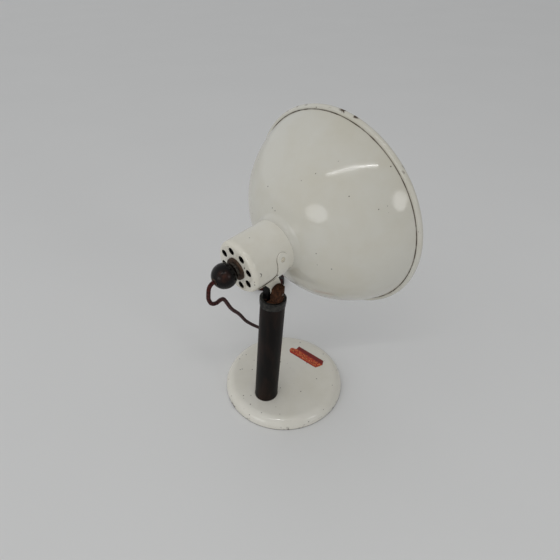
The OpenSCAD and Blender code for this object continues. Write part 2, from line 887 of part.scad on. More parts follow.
module plug_pins() {
    front = plug_len - plug_back;
    color("#b9a468") plug_frame() for (side = [-1, 1])
        translate([0, side * plug_pin_gap / 2, coil_h + plug_t / 2]) {
            rod(plug_pin_d / 2 - pin_step, 0.2, front + 1);
            rod(plug_pin_d / 2, front, front + plug_pin_len - pin_tip);
            translate([front + plug_pin_len - pin_tip, 0, 0]) rotate([0, 90, 0])
                cylinder(r1 = plug_pin_d / 2, r2 = plug_pin_d / 2 - pin_tip, h = pin_tip);
        }
}

module plug_screw() {
    color("#a8a6a0") plug_frame() translate([0, 0, coil_h + plug_t - 4]) cylinder(r = 3.6 - fit, h = 2.4);
}

base_cover();
base_weight();
base_felt();
base_bolt();
base_washer();
base_label();
post_tube();
post_plug();
collar();
fork();
pivot_pin();
friction_washers();
yoke_left();
yoke_right();
yoke_rivets();
housing();
reflector();
rim_wire();
fibre_disc();
round_nut();
nipple();
lock_nut();
ball_handle();
cord_bush();
flex_tail();
lead_wires();
holder_bracket();
bracket_screws();
holder_body();
screw_shell();
centre_contact();
terminal_screws();
lamp_cap();
lamp_glass();
lamp_stem();
lamp_filament();
cord_tube();
cord_coil();
cord_tie();
cord_end();
plug_body();
plug_pins();
plug_screw();
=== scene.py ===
"""A table heat lamp: cream enamelled bowl shade and base, black tube post, ball handle and braided cord."""

import json
import math

import bpy
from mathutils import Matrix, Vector


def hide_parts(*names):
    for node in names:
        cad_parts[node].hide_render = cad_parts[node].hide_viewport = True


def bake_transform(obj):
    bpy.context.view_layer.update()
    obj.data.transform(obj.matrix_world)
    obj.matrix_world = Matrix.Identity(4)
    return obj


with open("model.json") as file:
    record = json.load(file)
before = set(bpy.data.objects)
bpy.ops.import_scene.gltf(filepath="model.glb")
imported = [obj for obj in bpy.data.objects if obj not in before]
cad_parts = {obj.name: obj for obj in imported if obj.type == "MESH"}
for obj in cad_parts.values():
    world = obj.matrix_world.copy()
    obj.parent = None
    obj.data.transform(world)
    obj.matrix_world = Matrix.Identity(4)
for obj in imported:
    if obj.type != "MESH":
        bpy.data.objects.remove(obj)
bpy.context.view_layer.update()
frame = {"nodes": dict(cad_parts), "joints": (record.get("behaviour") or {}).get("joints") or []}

# ---- Camera ----
# Stands behind the lamp and to its right, above the shade, and looks down on its back.
# It is close to the lamp, with a fairly wide lens, so near parts look larger than far ones.

camera = bpy.data.objects.new("camera", bpy.data.cameras.new("camera"))
camera.data.sensor_width = 36
camera.data.lens = 29.65
camera.location = (-0.3383, -0.3476, 0.5709)
camera.rotation_euler = Vector((0.5477, 0.5771, -0.6058)).to_track_quat("-Z", "Y").to_euler()
bpy.context.scene.collection.objects.link(camera)
bpy.context.scene.camera = camera

# ---- Cord ----
# Two-core flex in a red-brown cotton braid, limp with age. It leaves the ball through a bush,
# runs down behind the base and is wound into a coil that is held by a band, with the plug on it.

MM = 0.001
TILT = math.radians(4.9)
PIVOT = Vector(frame["joints"][0]["pos_m"])
CORD_D = 5 * MM
COIL_AT = (156 * MM, 212 * MM)
PLUG_TURN = math.radians(45)
# the coil in millimetres: its widest turn, and the angles in degrees where a turn steps over to
# the one beside it or up to the next layer, each one cord's width away
COIL_R = 32.5
STEPS_OVER = ((260, -1), (620, -1), (1280, 1), (1640, 1), (2240, -1))
STEPS_UP = (980, 1940)
COIL_ENDS = (12, 2300)
TURN_STEP = 12

# steps from the ball's outlet to where the cord hangs clear, in millimetres
DROP = [
    (0, 0, 0), (-4, 0, -1), (-7.5, 0, -4.5), (-9, 0, -11), (-9, 1, -20), (-6, 1, -28), (1, 2, -32),
    (8, 6, -35), (15, 10, -39), (21, 13, -46),
]
# the rest of the way to the coil
RUN = [
    (-78, 16, 188), (-55, 31, 155), (-32, 47, 118), (-10, 59, 88), (12, 71, 60), (30, 82, 36),
    (44, 90, 20), (57, 100, 8), (70, 109, 2.5), (84, 120, 2.5), (100, 132, 2.5), (134, 156, 2.5),
    (150, 169, 2.5), (163, 180, 2.5),
]
# from the coil's top to the plug, in the plug's own frame
TAIL = [
    (13.5, 24, 12.5), (5, 26.5, 13.5), (-4, 27, 15.5), (-13, 27.5, 18), (-22, 26, 19.5), (-30, 20.5, 21.5),
    (-33.5, 12.5, 23), (-31, 5, 23), (-26, 1, 23), (-20, 0, 23),
]


def head_point(station, rise=0.0):
    """A point in the head's middle plane, as a station along its axis and a rise across it."""
    along, up = station - 55 * MM, rise + 70 * MM
    return PIVOT + Vector((
        along * math.cos(TILT) - up * math.sin(TILT), 0, along * math.sin(TILT) + up * math.cos(TILT)
    ))


def ease(value, start, end):
    """Goes smoothly from 0 at the start to 1 at the end."""
    t = min(max((value - start) / (end - start), 0), 1)
    return t * t * (3 - 2 * t)


def coil_turns(first, last, step):
    """Points of the coil from its first to its last angle, in three layers."""
    points = []
    angle = first
    while angle < last:
        over = sum(way * ease(angle, start, start + 60) for start, way in STEPS_OVER)
        r = COIL_R * MM + CORD_D * over
        z = CORD_D * (0.5 + sum(ease(angle, start, start + 30) for start in STEPS_UP))
        turn = math.radians(angle - 60)
        points.append(Vector((COIL_AT[0] + r * math.cos(turn), COIL_AT[1] + r * math.sin(turn), z)))
        angle += step
    return points


def smooth(points, step):
    """A smooth line through all the points, with a point about every step."""
    line = []
    for i in range(len(points) - 1):
        a, b, c, d = (points[min(max(i + k, 0), len(points) - 1)] for k in (-1, 0, 1, 2))
        count = max(1, round((c - b).length / step))
        for j in range(count):
            t = j / count
            bend, twist = 2 * a - 5 * b + 4 * c - d, 3 * b - a - 3 * c + d
            p = (2 * b + (c - a) * t + bend * t**2 + twist * t**3) / 2
            p.z = max(p.z, CORD_D / 2)
            line.append(p)
    return line + [points[-1].copy()]


def tube(name, line, radius, sides, bulge=lambda along, turn: 1.0):
    """A closed tube along the line. Its map holds the length along it and the turn round it."""
    rings, along = [], [0.0]
    across = (line[1] - line[0]).cross(Vector((0, 1, 0))).normalized()
    for i, p in enumerate(line):
        heading = (line[min(i + 1, len(line) - 1)] - line[max(i - 1, 0)]).normalized()
        across = (across - heading * across.dot(heading)).normalized()
        other = heading.cross(across)
        if i:
            along.append(along[-1] + (p - line[i - 1]).length)
        rings.append([
            p + radius * bulge(along[-1], k / sides)
            * (across * math.cos(math.tau * k / sides) + other * math.sin(math.tau * k / sides))
            for k in range(sides)
        ])
    verts = [v for ring in rings for v in ring]
    faces, maps = [], []
    for i in range(len(rings) - 1):
        for k in range(sides):
            m = (k + 1) % sides
            faces.append((i * sides + k, i * sides + m, (i + 1) * sides + m, (i + 1) * sides + k))
            maps += [(along[i], k / sides), (along[i], (k + 1) / sides)]
            maps += [(along[i + 1], (k + 1) / sides), (along[i + 1], k / sides)]
    for ring, order in ((0, -1), (len(rings) - 1, 1)):
        faces.append(tuple(ring * sides + k for k in range(sides))[::order])
        maps += [(along[ring], 0.0)] * sides
    mesh = bpy.data.meshes.new(name)
    mesh.from_pydata(verts, [], faces)
    layer = mesh.uv_layers.new(name="braid")
    for loop, place in zip(layer.data, maps):
        loop.uv = place
    mesh.shade_smooth()
    piece = bpy.data.objects.new(name, mesh)
    bpy.context.scene.collection.objects.link(piece)
    return piece


def paint(code):
    """An sRGB hex colour as the linear colour that a shader takes."""
    parts = [int(code[i : i + 2], 16) / 255 for i in (1, 3, 5)]
    return (*[c / 12.92 if c <= 0.04045 else ((c + 0.055) / 1.055) ** 2.4 for c in parts], 1)


def add(tree, kind, inputs=(), **settings):
    """Adds a shader node, sets it, and gives each input its value or the socket that feeds it."""
    made = tree.nodes.new("ShaderNode" + kind)
    for name, value in settings.items():
        setattr(made, name, value)
    for name, value in dict(inputs).items():
        if isinstance(value, bpy.types.NodeSocket):
            tree.links.new(value, made.inputs[name])
        else:
            made.inputs[name].default_value = value
    return made


def finish_named(name):
    """A new material with its nodes cleared, and its tree."""
    material = bpy.data.materials.new(name)
    material.use_nodes = True
    material.node_tree.nodes.clear()
    return material, material.node_tree


def surface(tree, shader):
    """Closes a material with its shader."""
    add(tree, "OutputMaterial", {"Surface": shader.outputs[0]})


# Cotton braid, woven from red and brown yarn: matt, with dust on its high spots. The real pitch
# is about 3 mm, drawn here three times as coarse so that the strands show.
BRAID_PITCH = 9 * MM
STRANDS = 3
braid, t = finish_named("cotton_braid_red_brown")
where = add(t, "SeparateXYZ", {0: add(t, "UVMap", uv_map="braid").outputs[0]})
along = add(t, "Math", {0: where.outputs[0], 1: math.tau / BRAID_PITCH}, operation="MULTIPLY")
turn = add(t, "Math", {0: where.outputs[1], 1: math.tau * STRANDS}, operation="MULTIPLY")
one_way = add(t, "Math", {0: along.outputs[0], 1: turn.outputs[0]})
other_way = add(t, "Math", {0: along.outputs[0], 1: turn.outputs[0]}, operation="SUBTRACT")
left = add(t, "Math", {0: one_way.outputs[0]}, operation="SINE")
right = add(t, "Math", {0: other_way.outputs[0]}, operation="SINE")
strands = add(t, "Math", {0: left.outputs[0], 1: right.outputs[0]}, operation="MULTIPLY")
place = add(t, "TexCoord")
fuzz = add(t, "TexNoise", {"Vector": place.outputs["Object"], "Scale": 1 / (1.2 * MM), "Detail": 3})
wear = add(t, "TexNoise", {"Vector": place.outputs["Object"], "Scale": 1 / (22 * MM), "Detail": 2})
height = add(t, "Math", {0: strands.outputs[0], 1: fuzz.outputs[0]})
two_reds = add(t, "Mix", {
    0: add(t, "MapRange", {"Value": height.outputs[0], "From Min": -0.3, "From Max": 1.3}).outputs[0],
    6: paint("#160707"), 7: paint("#4b1b19"),
}, data_type="RGBA")
dust = add(t, "MapRange", {
    "Value": wear.outputs[0], "From Min": 0.55, "From Max": 0.75, "To Max": 0.45,
})
dusty = add(t, "Mix", {
    0: dust.outputs[0], 6: two_reds.outputs[2], 7: paint("#63352f"),
}, data_type="RGBA")
relief = add(t, "Bump", {"Height": height.outputs[0], "Distance": 0.4 * MM, "Strength": 0.8})
surface(t, add(t, "BsdfPrincipled", {
    "Base Color": dusty.outputs[2], "Roughness": 0.9, "Specular IOR Level": 0.15,
    "Sheen Weight": 0.1, "Normal": relief.outputs[0],
}))

cord_out = head_point(-31.5 * MM)
plug_way = Vector((math.cos(PLUG_TURN), math.sin(PLUG_TURN), 0))
plug_side = Vector((-plug_way.y, plug_way.x, 0))
route = [cord_out + Vector(p) * MM for p in DROP] + [Vector(p) * MM for p in RUN]
route += coil_turns(*COIL_ENDS, TURN_STEP)
route += [
    Vector((*COIL_AT, 0)) + MM * (p[0] * plug_way + p[1] * plug_side + Vector((0, 0, p[2]))) for p in TAIL
]
cord_line = smooth(route, 2 * MM)


def strand_relief(along, turn):
    """The strands' relief as a share of the cord's radius. It goes only inwards."""
    return 0.98 + 0.02 * math.sin(math.tau * along / BRAID_PITCH) * math.sin(math.tau * STRANDS * turn)


cord = tube("cord", cord_line, CORD_D / 2, 12, strand_relief)
cord.data.materials.append(braid)
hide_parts("cord_tube", "cord_coil", "cord_end")
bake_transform(cord)


def dress(material, *names):
    """Gives CAD nodes their finish."""
    for name in names:
        slots = frame["nodes"][name].data.materials
        slots.clear()
        slots.append(material)


dress(braid, "flex_tail")

# ---- Shade ----
# Spun steel bowl with its edge rolled over a wire. Cream stove enamel over all of it: a thick
# glossy coat with a faint ripple, dirt and painted shade in the groove behind the bead and chips on the rim.

RIM_R = 131.5 * MM
BOWL_R = 136 * MM
bowl_station = 59.1 * MM + math.sqrt((BOWL_R + 9 * MM) ** 2 - (42 * MM) ** 2)
bead_station = bowl_station - math.sqrt((BOWL_R + 0.5 * MM) ** 2 - RIM_R**2)


def enamel(name, colour, stain, specked):
    """Stove enamel: a coat that yellows in patches, with pin-prick specks and painted shade in its corners.
    """
    material, t = finish_named(name)
    place = add(t, "TexCoord").outputs["Object"]
    patches = add(t, "TexNoise", {"Vector": place, "Scale": 1 / (70 * MM), "Detail": 4, "Roughness": 0.6})
    tinted = add(t, "Mix", {
        0: add(t, "MapRange", {"Value": patches.outputs[0], "From Min": 0.42, "From Max": 0.72}).outputs[0],
        6: paint(colour), 7: paint(stain),
    }, data_type="RGBA")
    dots = add(t, "TexVoronoi", {"Vector": place, "Scale": 1 / (9 * MM)})
    few = add(t, "MapRange", {
        "Value": add(t, "SeparateColor", {0: dots.outputs["Color"]}).outputs[0],
        "From Min": 1 - specked, "From Max": 1.01 - specked,
    })
    speck = add(t, "MapRange", {"Value": dots.outputs["Distance"], "From Min": 0.11, "From Max": 0.07})
    mask = add(t, "Math", {0: few.outputs[0], 1: speck.outputs[0]}, operation="MULTIPLY")
    # painted shade: the coat darkens, unevenly, in corners, creases and gaps where other parts stand close
    corner = add(t, "AmbientOcclusion", {"Distance": 1.6 * MM}, samples=8)
    corner_shade_breakup = add(t, "TexNoise", {"Vector": place, "Scale": 1 / (7 * MM), "Detail": 3})
    painted_corner_shade = add(t, "Math", {
        0: add(t, "MapRange", {"Value": corner.outputs["AO"], "From Min": 0.85, "From Max": 0.5}).outputs[0],
        1: add(t, "MapRange", {
            "Value": corner_shade_breakup.outputs[0], "From Min": 0.3, "From Max": 0.5, "To Min": 0.5,
        }).outputs[0],
    }, operation="MULTIPLY")
    specks_and_shade = add(t, "Math", {0: mask.outputs[0], 1: painted_corner_shade.outputs[0]}, operation="MAXIMUM")
    specked_and_shaded = add(t, "Mix", {
        0: add(t, "Math", {0: specks_and_shade.outputs[0], 1: 0.85}, operation="MULTIPLY").outputs[0],
        6: tinted.outputs[2], 7: paint("#3b3129"),
    }, data_type="RGBA")
    ripple = add(t, "TexNoise", {"Vector": place, "Scale": 1 / (16 * MM), "Detail": 1})
    scuffs = add(t, "TexNoise", {"Vector": place, "Scale": 1 / (24 * MM), "Detail": 4})
    gloss = add(t, "MapRange", {
        "Value": scuffs.outputs[0], "From Min": 0.4, "From Max": 0.75, "To Min": 0.09, "To Max": 0.17,
    })
    bump = add(t, "Bump", {"Height": ripple.outputs[0], "Distance": 0.1 * MM, "Strength": 0.15})
    return material, t, place, specked_and_shaded.outputs[2], gloss.outputs[0], bump.outputs[0]


def chipped_and_shaded(t, coat, gloss, bump, mask, under):
    """Closes an enamel: where the mask is 1 the dull colour under it shows, as the metal where the coat is
    gone and as painted shade where the mask carries shade.
    """
    bare = add(t, "Mix", {0: mask, 6: coat, 7: under}, data_type="RGBA")
    dull = add(t, "Mix", {0: mask, 2: gloss, 3: 0.75})
    edge = add(t, "Bump", {
        "Height": mask, "Distance": 0.25 * MM, "Strength": 0.6, "Normal": bump,
    }, invert=True)
    surface(t, add(t, "BsdfPrincipled", {
        "Base Color": bare.outputs[2], "Roughness": dull.outputs[0], "Normal": edge.outputs[0], "IOR": 1.52,
    }))


def head_place(t, place):
    """Places in the head's frame: (station, side, rise), and (station, distance from the axis)."""
    turned = add(t, "Mapping", {
        "Vector": place, "Location": head_point(0), "Rotation": (0, -TILT, 0),
    }, vector_type="TEXTURE").outputs[0]
    off = add(t, "VectorMath", {0: turned, 1: (0, 1, 1)}, operation="MULTIPLY")
    far = add(t, "VectorMath", {0: off.outputs[0]}, operation="LENGTH")
    station = add(t, "SeparateXYZ", {0: turned})
    return turned, add(t, "CombineXYZ", {0: station.outputs[0], 1: far.outputs["Value"]}).outputs[0]


def away(t, vector, centre, weights=(1, 1, 1)):
    """Distance of a place from a centre, with each axis weighted."""
    offset = add(t, "VectorMath", {0: vector, 1: [c * MM for c in centre]}, operation="SUBTRACT")
    scaled = add(t, "VectorMath", {0: offset.outputs[0], 1: weights}, operation="MULTIPLY")
    return add(t, "VectorMath", {0: scaled.outputs[0]}, operation="LENGTH").outputs["Value"]


# Vitreous enamel on steel: hard gloss, cream, going yellow. Chips show brown oxide.
shade_coat, t, place, coat, gloss, bump = enamel("stove_enamel_cream_shade", "#d0cec4", "#cbc7b9", 0.16)
turned, profile = head_place(t, place)
uneven = add(t, "TexNoise", {"Vector": place, "Scale": 1 / (9 * MM), "Detail": 4}).outputs[0]
# dirt and painted shade in the groove behind the bead
near_groove = add(t, "MapRange", {
    "Value": away(t, profile, (bead_station / MM - 3.5, 130, 0)),
    "From Min": 1.1 * MM, "From Max": 0.4 * MM,
})
patchy = add(t, "MapRange", {"Value": uneven, "From Min": 0.35, "From Max": 0.6, "To Min": 0.2})
groove_dirt_and_shade = add(t, "Math", {0: near_groove.outputs[0], 1: patchy.outputs[0]}, operation="MULTIPLY")
# small chips along the bead's crest
on_bead = add(t, "MapRange", {
    "Value": away(t, profile, (bead_station / MM, 133.7, 0)),
    "From Min": 3.2 * MM, "From Max": 1.5 * MM,
})
flaked = add(t, "MapRange", {"Value": uneven, "From Min": 0.62, "From Max": 0.65})
chips = add(t, "Math", {0: on_bead.outputs[0], 1: flaked.outputs[0]}, operation="MULTIPLY")
# one larger knock near the top of the rim
knock_at = (bead_station / MM, -25.7, 133)
near_knock = add(t, "MapRange", {
    "Value": away(t, turned, knock_at, (1, 0.22, 1)), "From Min": 4.2 * MM, "From Max": 3.2 * MM,
})
ragged = add(t, "MapRange", {"Value": uneven, "From Min": 0.5, "From Max": 0.54})
knock = add(t, "Math", {0: near_knock.outputs[0], 1: ragged.outputs[0]}, operation="MULTIPLY")
bare = add(t, "Math", {0: chips.outputs[0], 1: knock.outputs[0]}, operation="MAXIMUM")
mask = add(t, "Math", {0: bare.outputs[0], 1: groove_dirt_and_shade.outputs[0]}, operation="MAXIMUM")
chipped_and_shaded(t, coat, gloss, bump, mask.outputs[0], paint("#4a3a2c"))
dress(shade_coat, "reflector")

# ---- Housing and yoke ----
# Deep-drawn cup over the lamp holder, with a ring of vents, and the two pressed halves of the
# yoke riveted to its sides. The same enamel, with painted shade along the yoke's edges.

# The same vitreous enamel, a little whiter: chipped at the vents, with dark iron under it, and with painted
# shade inside the cup
VENT_CIRCLE = (0.6, 22.3, 0)
ARC_AT = (7.2, 0, 3.4)
ARC_R = 2.2 * MM
drawn_coat, t, place, coat, gloss, bump = enamel("stove_enamel_cream_housing", "#e0ddd2", "#d7d2c3", 0.22)
turned, profile = head_place(t, place)
wear = add(t, "TexNoise", {"Vector": place, "Scale": 1 / (5 * MM), "Detail": 5}).outputs[0]
by_vents = add(t, "MapRange", {
    "Value": away(t, profile, VENT_CIRCLE), "From Min": 7 * MM, "From Max": 4 * MM,
})
flaked = add(t, "MapRange", {"Value": wear, "From Min": 0.66, "From Max": 0.7})
chips = add(t, "Math", {0: by_vents.outputs[0], 1: flaked.outputs[0]}, operation="MULTIPLY")
# an old knock: a crescent on the right side, near the back
split = add(t, "SeparateXYZ", {0: turned}).outputs
from_arc = add(t, "Math", {0: away(t, turned, ARC_AT, (1, 0, 1)), 1: ARC_R}, operation="SUBTRACT")
from_arc = add(t, "Math", {0: from_arc.outputs[0]}, operation="ABSOLUTE")
arc = add(t, "MapRange", {"Value": from_arc.outputs[0], "From Min": 0.55 * MM, "From Max": 0.3 * MM})
front_half = add(t, "MapRange", {"Value": split[0], "From Min": 7.4 * MM, "From Max": 8.2 * MM})
right_side = add(t, "MapRange", {"Value": split[1], "From Min": -10 * MM, "From Max": -12 * MM})
crescent = add(t, "Math", {0: arc.outputs[0], 1: front_half.outputs[0]}, operation="MULTIPLY")
crescent = add(t, "Math", {0: crescent.outputs[0], 1: right_side.outputs[0]}, operation="MULTIPLY")
# painted shade: the inside of the housing is coloured near black
corner = add(t, "VectorMath", {
    0: profile, 1: (-1, 1, 0), 2: (6 * MM, -27 * MM, 0),
}, operation="MULTIPLY_ADD")
corner = add(t, "VectorMath", {0: corner.outputs[0], 1: (0, 0, 0)}, operation="MAXIMUM")
corner = add(t, "VectorMath", {0: corner.outputs[0]}, operation="LENGTH").outputs["Value"]
painted_inside_shade = add(t, "MapRange", {"Value": corner, "From Min": 5.5 * MM, "From Max": 5.3 * MM})
bare = add(t, "Math", {0: chips.outputs[0], 1: crescent.outputs[0]}, operation="MAXIMUM")
mask = add(t, "Math", {0: bare.outputs[0], 1: painted_inside_shade.outputs[0]}, operation="MAXIMUM")
chipped_and_shaded(t, coat, gloss, bump, mask.outputs[0], paint("#1d1815"))
dress(drawn_coat, "housing")

# The enamel on the pressed yoke, worn through to brown in spots
yoke_coat, t, place, coat, gloss, bump = enamel("stove_enamel_cream_yoke", "#e0ddd2", "#d7d2c3", 0.22)
wear = add(t, "TexNoise", {"Vector": place, "Scale": 1 / (6 * MM), "Detail": 5})
lost = add(t, "MapRange", {"Value": wear.outputs[0], "From Min": 0.68, "From Max": 0.71})
chipped_and_shaded(t, coat, gloss, bump, lost.outputs[0], paint("#4a3a2e"))
dress(yoke_coat, "yoke_left", "yoke_right")

# The rivets were enamelled with the yoke, and their heads are rubbed through in spots
rivet_coat, t, place, coat, gloss, bump = enamel("stove_enamel_on_rivets", "#cfc8b6", "#b9ae97", 0.1)
rubbed = add(t, "TexNoise", {"Vector": place, "Scale": 1 / (2 * MM), "Detail": 3})
mask = add(t, "MapRange", {"Value": rubbed.outputs[0], "From Min": 0.6, "From Max": 0.68})
chipped_and_shaded(t, coat, gloss, bump, mask.outputs[0], paint("#6a5c4c"))
dress(rivet_coat, "yoke_rivets")

# ---- Base ----
# Pressed cover over a cast weight, held by one bolt up into the post. Duller enamel than the
# shade's, chipped near its lowest edge and with a painted contact shadow along it, on a felt pad.

# Duller enamel, thick with specks, chipped near its lowest edge, with a painted contact shadow along the
# very bottom
base_coat, t, place, coat, gloss, bump = enamel("stove_enamel_cream_base", "#dfdcd2", "#d7d3c6", 0.9)
low = add(t, "SeparateXYZ", {0: place})
foot = add(t, "MapRange", {"Value": low.outputs[2], "From Min": 7 * MM, "From Max": 1.5 * MM})
wear = add(t, "TexNoise", {"Vector": place, "Scale": 1 / (7 * MM), "Detail": 5})
knocked = add(t, "MapRange", {"Value": wear.outputs[0], "From Min": 0.57, "From Max": 0.6})
chips = add(t, "Math", {0: foot.outputs[0], 1: knocked.outputs[0]}, operation="MULTIPLY")
# painted contact shadow: an even dark band round the very bottom of the cover, where it meets the table
edge = add(t, "MapRange", {
    "Value": low.outputs[2], "From Min": 1.6 * MM, "From Max": 0.9 * MM, "To Max": 0.8,
})
mask = add(t, "Math", {0: chips.outputs[0], 1: edge.outputs[0]}, operation="MAXIMUM")
chipped_and_shaded(t, coat, gloss, bump, mask.outputs[0], paint("#40362d"))
dress(base_coat, "base_cover")


def grained(name, grain, dark, light, rough, relief, extra=()):
    """A finish whose tone, gloss and relief follow one grain. Grain and relief are in millimetres."""
    material, t = finish_named(name)
    place = add(t, "TexCoord").outputs["Object"]
    noise = add(t, "TexNoise", {"Vector": place, "Scale": 1 / (grain * MM), "Detail": 5}).outputs[0]
    share = add(t, "MapRange", {"Value": noise, "From Min": 0.35, "From Max": 0.7}).outputs[0]
    tone = add(t, "Mix", {0: share, 6: paint(dark), 7: paint(light)}, data_type="RGBA")
    gloss = add(t, "MapRange", {"Value": share, "To Min": rough[0], "To Max": rough[1]})
    bump = add(t, "Bump", {"Height": noise, "Distance": relief * MM, "Strength": 0.6})
    surface(t, add(t, "BsdfPrincipled", {
        "Base Color": tone.outputs[2], "Roughness": gloss.outputs[0], "Normal": bump.outputs[0],
        **dict(extra),
    }))
    return material


# Grey iron, sand cast: dull and coarse
casting = grained("grey_iron_casting", 1.5, "#3a3836", "#565250", (0.7, 0.85), 0.4, {"Metallic": 0.6})
dress(casting, "base_weight")

# Pressed wool felt: matt, with a soft nap
felt = grained("wool_felt_green", 0.8, "#2c3d2d", "#57694f", (0.95, 1), 0.3, {"Sheen Weight": 0.4})
dress(felt, "base_felt")

# ---- Sticker ----
# Old paper sticker glued on the base's top. Its ends are torn, and it carries no lettering.

# Red paper: half matt, darkened with dirt and rubbed to orange along the middle
STICKER_AT = (52.5 * MM, 2 * MM, 0)
STICKER_TURN = math.radians(-85)
sticker, t = finish_named("worn_red_paper")
place = add(t, "TexCoord").outputs["Object"]
own = add(t, "Mapping", {
    "Vector": place, "Location": STICKER_AT, "Rotation": (0, 0, STICKER_TURN),
}, vector_type="TEXTURE")
across = add(t, "SeparateXYZ", {0: own.outputs[0]}).outputs[1]
off_middle = add(t, "Math", {0: across, 1: 3 * MM}, operation="ADD")
off_middle = add(t, "Math", {0: off_middle.outputs[0]}, operation="ABSOLUTE")
streaks = add(t, "Mapping", {"Vector": own.outputs[0], "Scale": (0.8, 1.6, 1)})
rubbed = add(t, "TexNoise", {"Vector": streaks.outputs[0], "Scale": 1 / (1.8 * MM), "Detail": 4})
flecks = add(t, "MapRange", {"Value": rubbed.outputs[0], "From Min": 0.49, "From Max": 0.62})
middle = add(t, "MapRange", {"Value": off_middle.outputs[0], "From Min": 6 * MM, "From Max": 3.5 * MM})
bright = add(t, "Math", {0: middle.outputs[0], 1: flecks.outputs[0]}, operation="MULTIPLY")
one_side = add(t, "MapRange", {"Value": across, "From Min": 1 * MM, "From Max": 4 * MM})
red = add(t, "Mix", {
    0: one_side.outputs[0], 6: paint("#aa1c0a"), 7: paint("#780c06"),
}, data_type="RGBA")
ground = add(t, "TexNoise", {"Vector": own.outputs[0], "Scale": 1 / (5 * MM), "Detail": 4})
dulled = add(t, "Mix", {
    0: add(t, "MapRange", {"Value": ground.outputs[0], "From Min": 0.5, "From Max": 0.8}).outputs[0],
    6: red.outputs[2], 7: paint("#541009"),
}, data_type="RGBA")
faded = add(t, "Mix", {0: bright.outputs[0], 6: dulled.outputs[2], 7: paint("#dd8a45")}, data_type="RGBA")
surface(t, add(t, "BsdfPrincipled", {
    "Base Color": faded.outputs[2], "Roughness": 0.55,
    "Normal": add(t, "Bump", {"Height": rubbed.outputs[0], "Distance": 0.1 * MM}).outputs[0],
}))
dress(sticker, "base_label")

# ---- Post ----
# Drawn steel tube that leans forward out of the base, held from below by the base's bolt and
# closed at the top by the collar.

# Black lacquer on steel: a low sheen with faint drawn lines, rubbed brown by hands
lacquer, t = finish_named("black_lacquer_rubbed_brown")
place = add(t, "TexCoord").outputs["Object"]
drawn = add(t, "Mapping", {"Vector": place, "Scale": (1, 1, 0.25)})
rubbed = add(t, "TexNoise", {
    "Vector": drawn.outputs[0], "Scale": 1 / (13 * MM), "Detail": 5, "Roughness": 0.6,
})
fine = add(t, "TexNoise", {"Vector": drawn.outputs[0], "Scale": 1 / (2 * MM), "Detail": 3})
brown = add(t, "Mix", {
    0: add(t, "MapRange", {"Value": rubbed.outputs[0], "From Min": 0.42, "From Max": 0.75}).outputs[0],
    6: paint("#0d0a09"), 7: paint("#2a1c16"),
}, data_type="RGBA")
sheen = add(t, "MapRange", {"Value": fine.outputs[0], "To Min": 0.36, "To Max": 0.55})
surface(t, add(t, "BsdfPrincipled", {
    "Base Color": brown.outputs[2], "Roughness": sheen.outputs[0], "Specular IOR Level": 0.12,
    "Normal": add(t, "Bump", {"Height": fine.outputs[0], "Distance": 0.08 * MM, "Strength": 0.4}).outputs[0],
}))
dress(lacquer, "post_tube")

# ---- Collar, fork and pin ----
# Turned collar in tarnished metal. The iron fork sits in it: its black paint has gone from the
# cheek on the right, which has rusted, and from the other's edges. Fibre washers grip the tongue.

# Turned metal, tarnished dark: fine lathe lines and a blurred shine
tarnish, t = finish_named("tarnished_turned_metal")
place = add(t, "TexCoord").outputs["Object"]
turned = add(t, "Mapping", {"Vector": place, "Scale": (0.15, 0.15, 1)})
lines = add(t, "TexNoise", {"Vector": turned.outputs[0], "Scale": 1 / (0.5 * MM), "Detail": 2})
spots = add(t, "TexNoise", {"Vector": place, "Scale": 1 / (4 * MM), "Detail": 4})
tone = add(t, "Mix", {
    0: add(t, "MapRange", {"Value": spots.outputs[0], "From Min": 0.4, "From Max": 0.7}).outputs[0],
    6: paint("#2f2f2e"), 7: paint("#4b4a46"),
}, data_type="RGBA")
surface(t, add(t, "BsdfPrincipled", {
    "Base Color": tone.outputs[2], "Metallic": 0.85, "Roughness": 0.42,
    "Normal": add(t, "Bump", {
        "Height": lines.outputs[0], "Distance": 0.06 * MM, "Strength": 0.5,
    }).outputs[0],
}))
dress(tarnish, "collar")

# Black paint over iron: a low sheen where it holds, rough brown scale where it has gone
rusted, t = finish_named("black_paint_over_rust")
place = add(t, "TexCoord").outputs["Object"]
scale_rust = add(t, "TexNoise", {"Vector": place, "Scale": 1 / (3.2 * MM), "Detail": 6, "Roughness": 0.65})
side = add(t, "SeparateXYZ", {0: place})
right_cheek = add(t, "MapRange", {"Value": side.outputs[1], "From Min": -6 * MM, "From Max": -9 * MM})
bare = add(t, "MapRange", {"Value": scale_rust.outputs[0], "From Min": 0.62, "From Max": 0.68})
rust_mask = add(t, "Math", {0: right_cheek.outputs[0], 1: bare.outputs[0]}, operation="MAXIMUM")
rust = add(t, "Mix", {
    0: add(t, "MapRange", {"Value": scale_rust.outputs[0], "From Min": 0.35, "From Max": 0.65}).outputs[0],
    6: paint("#1f130d"), 7: paint("#573826"),
}, data_type="RGBA")
tone = add(t, "Mix", {0: rust_mask.outputs[0], 6: paint("#0a0908"), 7: rust.outputs[2]}, data_type="RGBA")
rough = add(t, "MapRange", {"Value": rust_mask.outputs[0], "To Min": 0.4, "To Max": 0.9})
surface(t, add(t, "BsdfPrincipled", {
    "Base Color": tone.outputs[2], "Roughness": rough.outputs[0], "Specular IOR Level": 0.12,
    "Normal": add(t, "Bump", {
        "Height": scale_rust.outputs[0], "Distance": 0.5 * MM, "Strength": 0.7,
    }).outputs[0],
}))
dress(rusted, "fork")

# Plain steel gone dull: metal, with a soft uneven shine
steel = grained("dull_steel", 3, "#5c5853", "#8a857d", (0.35, 0.55), 0.05, {"Metallic": 1.0})
dress(steel, "pivot_pin", "rim_wire", "round_nut")

